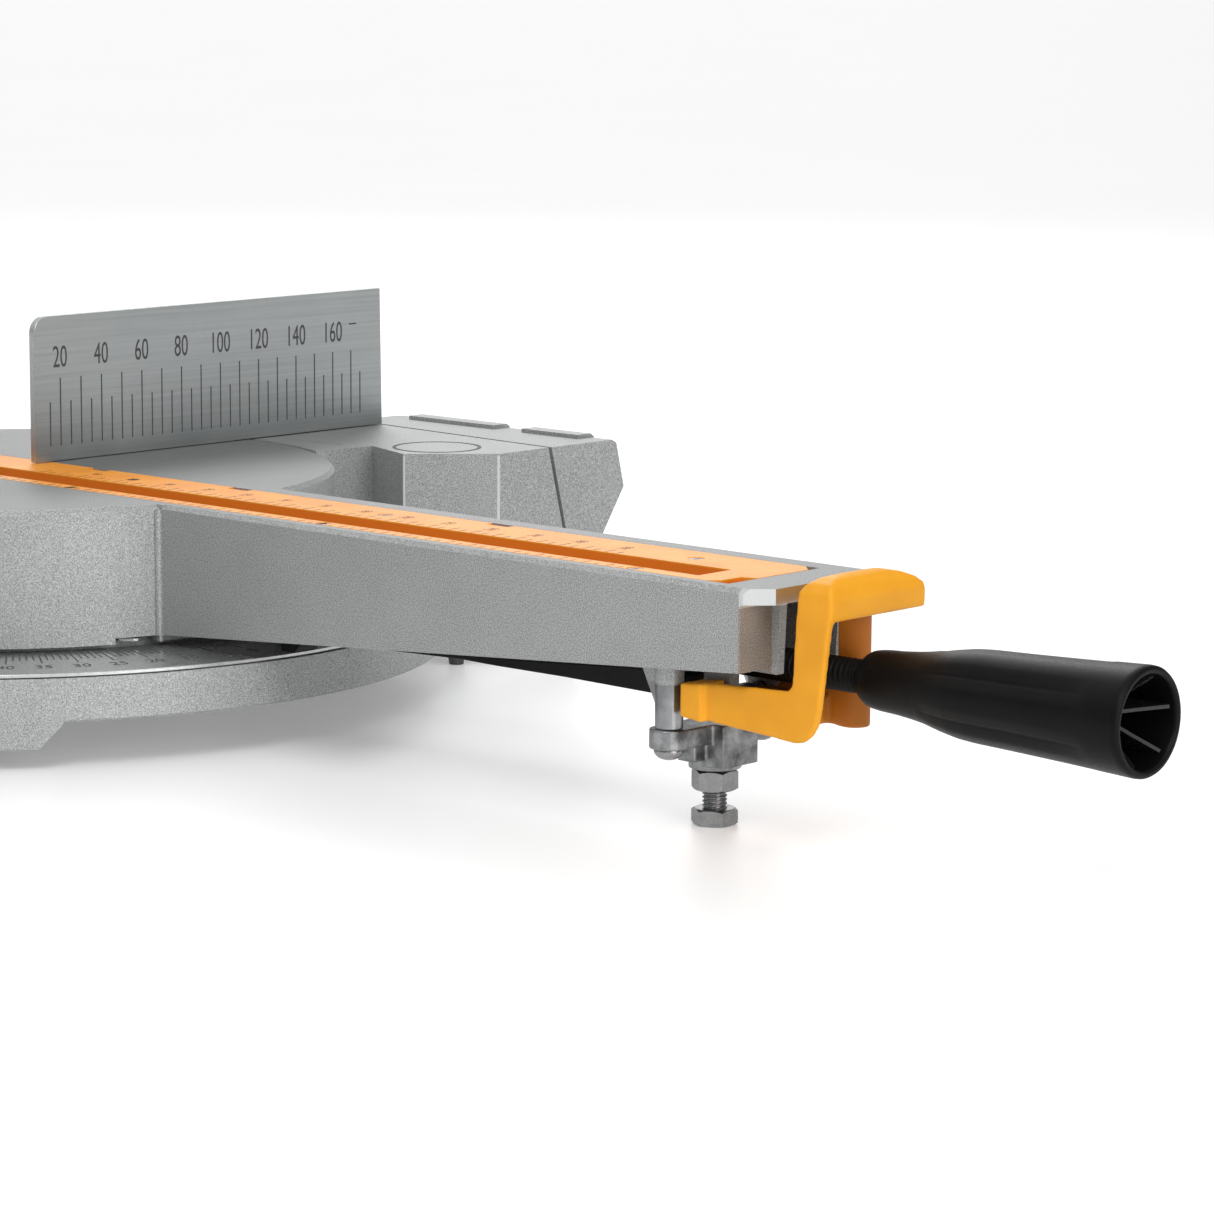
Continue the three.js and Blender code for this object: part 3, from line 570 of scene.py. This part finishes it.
def marks_object(name, bm, numerals, material):
    for mesh in numerals:
        bm.from_mesh(mesh)
        bpy.data.meshes.remove(mesh)
    bmesh.ops.recalc_face_normals(bm, faces=bm.faces)
    return from_bmesh(name, bm, material, 30.0)


# ------------------------------------------------------------------ castings
DRUM_FRONT = -120.4
ARM_REAR = -120.7


def table_casting():
    """The drum and the arm as the one casting they are, without the gap between the two nodes."""
    drum = clean_copy("rotary_table", "rotary_table_finished")
    arm = clean_copy("table_arm", "table_arm_part")
    seam = [v.co for v in drum.data.vertices if abs(v.co.y - DRUM_FRONT * MM) < 0.02 * MM]
    for v in arm.data.vertices:
        if abs(v.co.y - ARM_REAR * MM) < 0.02 * MM:
            v.co.y = DRUM_FRONT * MM
            near = min(seam, key=lambda c: (c - v.co).length)
            if (near - v.co).length < 0.3 * MM:
                v.co = near
    union = drum.modifiers.new("union", "BOOLEAN")
    union.operation = "UNION"
    union.solver = "EXACT"
    union.object = arm
    bpy.context.view_layer.update()
    whole = bpy.data.meshes.new_from_object(drum.evaluated_get(bpy.context.evaluated_depsgraph_get()))
    drum.modifiers.clear()
    bpy.data.objects.remove(arm)
    bm = bmesh.new()
    bm.from_mesh(whole)
    tidy_faces(bm, 0.03 * MM)
    bm.to_mesh(whole)
    bm.free()
    drum.data = whole
    finish_edges(drum, ARM_PAINT, 0.7, 3, edge=EDGE_HIGHLIGHT_PAINT)
    return own(drum, "table", "cast_paint", "rotary_table", "table_arm")


table_casting()
dress("base_casting", BASE_PAINT, "base", 1.2, 3)
dress("wing_end_right", PAINT, "base", 0.7, 3)
dress("wing_end_left", PAINT, "base", 0.7, 3)
dress("kerf_plate", YELLOW_PLATE, "table", 0.3)
dress("fence_right", FENCE, "base", 0.4)
dress("fence_left", FENCE, "base", 0.4)
dress("mitre_scale", SCALE, "base", 0.2)
dress("mitre_pointer", SCALE, "table", 0.2)
cast_round("detent_lever", YELLOW_LEVER, "lever", 0.55, 9)
dress("detent_spring", BLACK_STEEL, "spring", 0.3)
cast_round("foot_bracket", CAST, "table", 0.4, 3)
dress("lock_shoe", DARK_ZINC, "shoe", 0.5)
dress("lever_pin", ZINC, "table", 0.3)
for pad in ("front_right", "front_left", "rear_right", "rear_left"):
    dress("foot_pad_" + pad, GLOSSY_RUBBER, "base", 0.3)
for n in ("pivot_bolt", "pivot_washer"):
    dress(n, ZINC, "base", 0.3)
for n in ("kerf_screw_1", "kerf_screw_2", "kerf_screw_3", "kerf_screw_4", "kerf_screw_5", "kerf_screw_6",
          "detent_spring_screw"):
    dress(n, ZINC, "table", 0.12)


# ------------------------------------------------------------------ screws, nuts and bolts
FOOT_Y = -345.6
POST_X = 22.0
ROD_Z = -27.6
HANDLE_Y0 = -405.7


def at_mm(x, y, z):
    return Matrix.Translation(Vector((x, y, z)) * MM)


def fence_bolt(name, x):
    head = hexagon(name + "_head", ZINC, 10.0, 4.0, at_mm(x, 8.8, 4.3), both=False)
    shank = threaded(name + "_shank", ZINC, 2.95, 1.0, 0.5, 24.0, at_mm(x, 8.8, -19.9))
    own(join(name + "_finished", [head, shank]), "base", "zinc", name)


for side, sign in (("right", 1), ("left", -1)):
    for index, x in enumerate((145.0, 176.0)):
        fence_bolt("fence_bolt_%s_%d" % (side, index + 1), sign * x)


def pan_screw(name, x):
    """A domed head under the bracket, on a threaded shank."""
    top = -54.8
    bm = bmesh.new()
    profile = [(0.0, 4.6), (0.5, 4.75), (1.2, 4.6), (2.0, 4.1), (2.7, 3.3), (3.2, 2.2), (3.4, 1.1)]
    rings = [(k, -z) for k, (z, r) in enumerate(profile)]
    rows = lathe_grid(bm, rings, 40, lambda k, a: profile[k][1], at_mm(x, FOOT_Y, top))
    cap(bm, rows[0], False)
    cap(bm, rows[-1], True)
    bmesh.ops.recalc_face_normals(bm, faces=bm.faces)
    head = from_bmesh(name + "_head", bm, ZINC, 40.0)
    shank = threaded(name + "_shank", ZINC, 1.85, 0.7, 0.35, 16.2, at_mm(x, FOOT_Y, top - 0.2))
    own(join(name + "_finished", [head, shank]), "table", "zinc", name)


pan_screw("bracket_screw_left", -POST_X)
pan_screw("bracket_screw_right", POST_X)

nut = hexagon("lock_nut_finished", ZINC, 13.0, 6.6, at_mm(0, FOOT_Y, -70.9), bore=4.2)
own(nut, "nut", "zinc", "lock_nut")
bolt_head = hexagon("bolt_head", ZINC, 13.0, 5.3, at_mm(0, FOOT_Y, -82.0))
bolt_shank = threaded("bolt_shank", ZINC, 3.95, 1.25, 0.62, 27.0, at_mm(0, FOOT_Y, -77.0))
own(join("levelling_bolt_finished", [bolt_head, bolt_shank]), "foot_bolt", "zinc", "levelling_bolt")


# ------------------------------------------------------------------ lock rod and handle
def toward_front(y):
    """+Z of a turned part becomes -Y of the object."""
    return at_mm(0, y, ROD_Z) @ Matrix.Rotation(math.radians(90), 4, "X")


ROD_FRONT = HANDLE_Y0 + 0.6
ROD_LENGTH = 238.0
THREAD_LENGTH = 62.0
plain_part = ROD_LENGTH - THREAD_LENGTH
rod = threaded("lock_rod_finished", BLACK_STEEL, 5.35, 2.0, 0.95, THREAD_LENGTH,
               toward_front(ROD_FRONT + THREAD_LENGTH), 40, 0.6)
bm = bmesh.new()
shaft = [(0.0, 4.5), (0.9, 5.35), (plain_part - 1.2, 5.35), (plain_part + 0.4, 4.5)]
rows = lathe_grid(bm, [(k, z) for k, (z, r) in enumerate(shaft)], 40, lambda k, a: shaft[k][1],
                  toward_front(ROD_FRONT + ROD_LENGTH))
cap(bm, rows[0], True)
cap(bm, rows[-1], False)
bmesh.ops.recalc_face_normals(bm, faces=bm.faces)
rod_shaft = from_bmesh("rod_shaft", bm, BLACK_STEEL, 30.0)
rod_tip = threaded("rod_tip", BLACK_STEEL, 4.35, 2.0, 0.3, 27.5, toward_front(ROD_FRONT - 0.5))
own(join("lock_rod_finished", [rod, rod_shaft, rod_tip]), "lock_screw", "black_steel", "lock_rod")

GRIP = [(0.0, 5.6), (0.8, 6.8), (2.0, 7.9), (3.5, 8.7), (5.0, 9.1), (8.0, 9.4), (14.0, 9.7), (20.0, 10.3),
        (25.0, 11.0), (32.0, 12.6), (38.6, 13.75), (45.0, 14.25), (60.0, 14.75), (80.0, 15.55), (97.0, 16.35),
        (101.0, 16.55), (102.4, 16.45), (103.1, 16.05), (103.3, 15.5)]
CAVITY = [(103.3, 14.5), (103.0, 14.15), (102.0, 13.95), (99.0, 13.8), (80.0, 13.2), (56.5, 12.4),
          (56.0, 12.0)]
FLUTES = 6


def along(profile, z):
    for (z0, r0), (z1, r1) in zip(profile, profile[1:]):
        if z0 <= z <= z1:
            t = (z - z0) / (z1 - z0)
            return r0 + (r1 - r0) * t
    return profile[-1][1]


def flute_depth(z, a):
    """Six long shallow flutes with rounded ends and a narrow line down the middle."""
    if z < 27.0 or z > 89.0:
        return 0.0
    swell = math.sin(math.pi * min(1.0, max(0.0, (z - 27.0) / 62.0))) ** 0.35
    step = 2 * math.pi / FLUTES
    turn = a - math.radians(28.0)
    off = abs(((turn + step / 2) % step) - step / 2) / (step / 2)
    wide = max(0.0, math.cos(min(1.0, off / 0.62) * math.pi / 2)) ** 1.5
    line = max(0.0, 1.0 - off / 0.09)
    return swell * (0.75 * wide + 0.22 * line)


def make_handle():
    bm = bmesh.new()
    seg = 180
    stations = sorted({p[0] for p in GRIP} | {k * 1.5 for k in range(1, 68)})
    place = toward_front(HANDLE_Y0)

    def outer(z, a):
        r = along(GRIP, z)
        smooth = (along(GRIP, max(0.0, z - 1.5)) + 2 * r + along(GRIP, min(103.3, z + 1.5))) / 4
        return (smooth if 4.0 < z < 99.0 else r) - flute_depth(z, a)

    rows = lathe_grid(bm, [(z, z) for z in stations], seg, outer, place)
    inner_rings = [(k, z) for k, (z, r) in enumerate(CAVITY)]
    inside = lathe_grid(bm, inner_rings, seg, lambda k, a: CAVITY[k][1], place)
    for i in range(seg):
        j = (i + 1) % seg
        bm.faces.new((rows[-1][i], rows[-1][j], inside[0][j], inside[0][i]))
    cap(bm, rows[0], True)
    cap(bm, inside[-1], False)
    bmesh.ops.recalc_face_normals(bm, faces=bm.faces)
    return from_bmesh("lock_handle_finished", bm, BLACK_GRIP, 50.0)


def make_webs():
    """Thin radial webs inside the open end, on a small hub that stands far back."""
    bm = bmesh.new()
    place = toward_front(HANDLE_Y0)
    for i in range(6):
        a = math.radians(60.0 * i + 12.0)
        c, sn = math.cos(a), math.sin(a)
        t = 0.55
        shape = [(1.5, 56.5), (12.3, 56.5), (13.95, 100.6), (13.2, 101.2), (8.0, 94.5), (3.0, 88.5),
                 (1.5, 87.5)]
        front = [bm.verts.new(place @ (Vector((r * c - t * sn, r * sn + t * c, z)) * MM)) for r, z in shape]
        rear = [bm.verts.new(place @ (Vector((r * c + t * sn, r * sn - t * c, z)) * MM)) for r, z in shape]
        bm.faces.new(front)
        bm.faces.new(list(reversed(rear)))
        for k in range(len(shape)):
            n = (k + 1) % len(shape)
            bm.faces.new((front[n], front[k], rear[k], rear[n]))
    hub = [(0, 56.3, 4.6), (1, 86.0, 3.9), (2, 87.2, 3.2), (3, 87.5, 2.4)]
    rows = lathe_grid(bm, [(k, z) for k, z, r in hub], 32, lambda k, a: hub[k][2], place)
    cap(bm, rows[0], True)
    cap(bm, rows[-1], False)
    bmesh.ops.recalc_face_normals(bm, faces=bm.faces)
    return from_bmesh("handle_webs", bm, WEB_BLACK, 30.0)


own(join("lock_handle_finished", [make_handle(), make_webs()]), "lock_screw", "black_grip", "lock_handle")

# ------------------------------------------------------------------ marks
# Marks are thin boxes: they stand PROUD out of the face they lie on and reach DEEP behind it.
FENCE_FACE = -1.6
FENCE_ZERO = 3.65
FENCE_TICK_HALF = 0.28
FENCE_TICK_FOOT = 6.0
FENCE_LONG_TOP = 31.3
FENCE_SHORT_TOP = 22.5
FENCE_NUMERAL_Z = 38.8
FENCE_NUMERAL_HEIGHT = 11.5
FENCE_PROUD = 0.05
FENCE_DEEP = 0.25
NARROW = Matrix.Diagonal((0.62, 1, 1, 1))
PLATE_TICK_HALF = 0.24
PLATE_MARK_LOW = -0.1
PLATE_MARK_TOP = 0.03
PLATE_NUMERAL_HEIGHT = 5.2
SCALE_TICK_HALF = 0.26
SCALE_TICK_START = -122.0
SCALE_MARK_LOW = -49.4
SCALE_MARK_TOP = -49.24
SCALE_NUMERAL_HEIGHT = 8.0


def fence_marks(name, sign):
    bm = bmesh.new()
    numerals = []
    for value in range(15, 180, 5):
        x = sign * (value + FENCE_ZERO)
        top = FENCE_LONG_TOP if value % 10 == 0 else FENCE_SHORT_TOP
        box_into(bm, x - FENCE_TICK_HALF, x + FENCE_TICK_HALF,
                 FENCE_FACE - FENCE_PROUD, FENCE_FACE + FENCE_DEEP, FENCE_TICK_FOOT, top)
    for value in range(20, 180, 20):
        at = Vector((sign * (value + FENCE_ZERO) * MM, (FENCE_FACE - 0.02) * MM, FENCE_NUMERAL_Z * MM))
        turn = Matrix.Translation(at) @ Matrix.Rotation(math.radians(90), 4, "X") @ NARROW
        numerals.append(numeral_mesh(str(value), FENCE_NUMERAL_HEIGHT, FENCE_PROUD, turn))
    dash = sign * (160 + FENCE_ZERO + 11.0)
    box_into(bm, dash - 2.0, dash + 2.0, FENCE_FACE - FENCE_PROUD, FENCE_FACE + FENCE_DEEP, 41.6, 42.2)
    obj = marks_object(name, bm, numerals, INK)
    return own(obj, "base", "black_steel")


fence_marks("fence_marks_right", 1)
fence_marks("fence_marks_left", -1)


def plate_marks():
    """Ticks every 5 mm on both strips of the kerf plate, with numbers beside the inner ones."""
    bm = bmesh.new()
    numerals = []
    for k in range(4, 66):
        y = -5.0 * k
        long = k % 2 == 0
        front, rear = y - PLATE_TICK_HALF, y + PLATE_TICK_HALF
        box_into(bm, -23.4, -19.4 if long else -21.0, front, rear, PLATE_MARK_LOW, PLATE_MARK_TOP)
        if k < 62:
            box_into(bm, -1.9, 3.6 if long else 1.6, front, rear, PLATE_MARK_LOW, PLATE_MARK_TOP)
    for value in range(40, 320, 20):
        turn = at_mm(8.4, -value, -0.01) @ Matrix.Diagonal((0.7, 1, 1, 1))
        numerals.append(numeral_mesh(str(value), PLATE_NUMERAL_HEIGHT, PLATE_MARK_TOP, turn))
    return own(marks_object("kerf_plate_marks", bm, numerals, INK_SOFT), "table", "black_steel")


plate_marks()


def scale_marks():
    """Degree ticks and numbers on the curved scale."""
    bm = bmesh.new()
    numerals = []
    for degree in range(-50, 51):
        length = 18.0 if degree % 5 == 0 else 12.0
        turn = Matrix.Rotation(math.radians(degree), 4, "Z")
        vs = box_into(bm, -SCALE_TICK_HALF, SCALE_TICK_HALF, SCALE_TICK_START - length, SCALE_TICK_START,
                      SCALE_MARK_LOW, SCALE_MARK_TOP)
        for v in vs:
            v.co = turn @ v.co
        if degree % 5 == 0:
            place = turn @ at_mm(0, -147.2, -49.27) @ Matrix.Diagonal((0.8, 1, 1, 1))
            numerals.append(numeral_mesh(str(abs(degree)), SCALE_NUMERAL_HEIGHT, 0.03, place))
    return own(marks_object("mitre_scale_marks", bm, numerals, INK), "base", "black_steel")


scale_marks()


def ring_groove(name, x, y, radius, half, material):
    """A flat ring laid on the wing top."""
    bm = bmesh.new()
    seg = 72
    levels = [(radius - half, -0.1), (radius - half, 0.12), (radius + half, 0.12), (radius + half, -0.1)]
    rows = []
    for r, z in levels:
        turns = [2 * math.pi * i / seg for i in range(seg)]
        rows.append([bm.verts.new(Vector((x + r * math.cos(a), y + r * math.sin(a), z)) * MM) for a in turns])
    for a_row, b_row in zip(rows, rows[1:] + rows[:1]):
        for i in range(seg):
            j = (i + 1) % seg
            bm.faces.new((a_row[i], a_row[j], b_row[j], b_row[i]))
    bmesh.ops.recalc_face_normals(bm, faces=bm.faces)
    return own(from_bmesh(name, bm, material, 30.0), "base", "cast_paint")


def wing_top_lines(name, sign):
    """Painted shade as dark strips: in the fine groove on the wing top beside the fence foot and along the
    edge pads.
    """
    bm = bmesh.new()
    for x0, x1, y0, y1, top in ((131.6, 132.6, -40.0, -7.0, 0.05), (211.5, 212.1, -44.0, 2.0, 0.08),
                                (211.5, 212.1, -90.0, -59.5, 0.08)):
        lo, hi = sorted((sign * x0, sign * x1))
        box_into(bm, lo, hi, y0, y1, -0.3, top)
    return own(marks_object(name, bm, [], GROOVE_SHADE), "base", "black_steel")


for side, sign in (("right", 1), ("left", -1)):
    ring_groove("emblem_ring_" + side, sign * 153.6, -70.0, 16.5, 0.7, INK)
    wing_top_lines("wing_top_lines_" + side, sign)

# ------------------------------------------------------------------ set
FLOOR_Z = -82 * MM


def make_floor():
    bm = bmesh.new()
    size = 30.0
    vs = [bm.verts.new((x * size, y * size, FLOOR_Z)) for x, y in ((-1, -1), (1, -1), (1, 1), (-1, 1))]
    bm.faces.new(vs)
    mesh = bpy.data.meshes.new("floor")
    bm.to_mesh(mesh)
    bm.free()
    floor = link_object(bpy.data.objects.new("floor", mesh))
    m = Maker("pale_floor")
    soft = m.noise(3.0, 2.0)
    m.set(Base_Color=m.ramp(soft, [(0.3, (0.82, 0.82, 0.82)), (0.7, (0.84, 0.84, 0.84))]), Roughness=0.35,
          Emission_Color=(1.0, 1.0, 1.0, 1.0), Emission_Strength=0.2)
    mesh.materials.append(m.mat)


def area_light(name, place, target, size, power, size_y=None):
    light = bpy.data.lights.new(name, "AREA")
    light.shape = "RECTANGLE"
    light.size = size
    light.size_y = size_y or size
    light.energy = power
    obj = link_object(bpy.data.objects.new(name, light))
    obj.location = place
    aim = Vector(target) - Vector(place)
    obj.rotation_euler = aim.to_track_quat("-Z", "Y").to_euler()
    return obj


def make_lights():
    """A pale studio: white over and behind the object, darker low on its right and left."""
    world = bpy.data.worlds.new("studio")
    scene.world = world
    world.use_nodes = True
    tree = world.node_tree
    coord = tree.nodes.new("ShaderNodeTexCoord")
    back = tree.nodes["Background"]

    def lobe(direction, low, high, dark):
        dot = tree.nodes.new("ShaderNodeVectorMath")
        dot.operation = "DOT_PRODUCT"
        tree.links.new(coord.outputs["Generated"], dot.inputs[0])
        dot.inputs[1].default_value = Vector(direction).normalized()
        ramp = tree.nodes.new("ShaderNodeMapRange")
        ramp.interpolation_type = "SMOOTHSTEP"
        ramp.inputs["From Min"].default_value = low
        ramp.inputs["From Max"].default_value = high
        ramp.inputs["To Min"].default_value = 1.0
        ramp.inputs["To Max"].default_value = dark
        tree.links.new(dot.outputs["Value"], ramp.inputs["Value"])
        return ramp.outputs["Result"]

    right = lobe((0.92, -0.52, -0.05), 0.35, 0.85, 0.16)
    left = lobe((-0.95, 0.22, -0.05), 0.45, 0.9, 0.35)
    both = tree.nodes.new("ShaderNodeMath")
    both.operation = "MULTIPLY"
    tree.links.new(right, both.inputs[0])
    tree.links.new(left, both.inputs[1])
    tree.links.new(both.outputs[0], back.inputs["Color"])
    back.inputs["Strength"].default_value = 0.95
    area_light("key", (-1.5, -1.0, 2.0), (0.0, -0.15, -0.03), 1.2, 22.0)
    area_light("front_fill", (-0.3, -2.4, 0.6), (0.0, -0.2, -0.03), 0.9, 15.0)
    area_light("rim", (1.4, 1.2, 1.4), (0.0, -0.1, 0.0), 1.0, 14.0)


def make_camera():
    """The camera stands to the front left of the arm, a little above the table."""
    place = Vector((-926.32, -1143.04, 187.19)) * MM
    yaw, pitch, roll = math.radians(47.67), math.radians(9.31), math.radians(0.35)
    look = Vector((math.sin(yaw) * math.cos(pitch), math.cos(yaw) * math.cos(pitch), -math.sin(pitch)))
    right = Vector((math.cos(yaw), -math.sin(yaw), 0.0))
    up = right.cross(look)
    right_r = right * math.cos(roll) + up * math.sin(roll)
    up_r = -right * math.sin(roll) + up * math.cos(roll)
    data = bpy.data.cameras.new("camera")
    data.sensor_width = 36.0
    data.lens = 117.6
    data.clip_start = 0.05
    data.clip_end = 50.0
    cam = link_object(bpy.data.objects.new("camera", data))
    m = Matrix((right_r, up_r, -look)).transposed().to_4x4()
    m.translation = place
    cam.matrix_world = m
    scene.camera = cam


make_floor()
make_lights()
make_camera()
scene.view_settings.view_transform = "Standard"
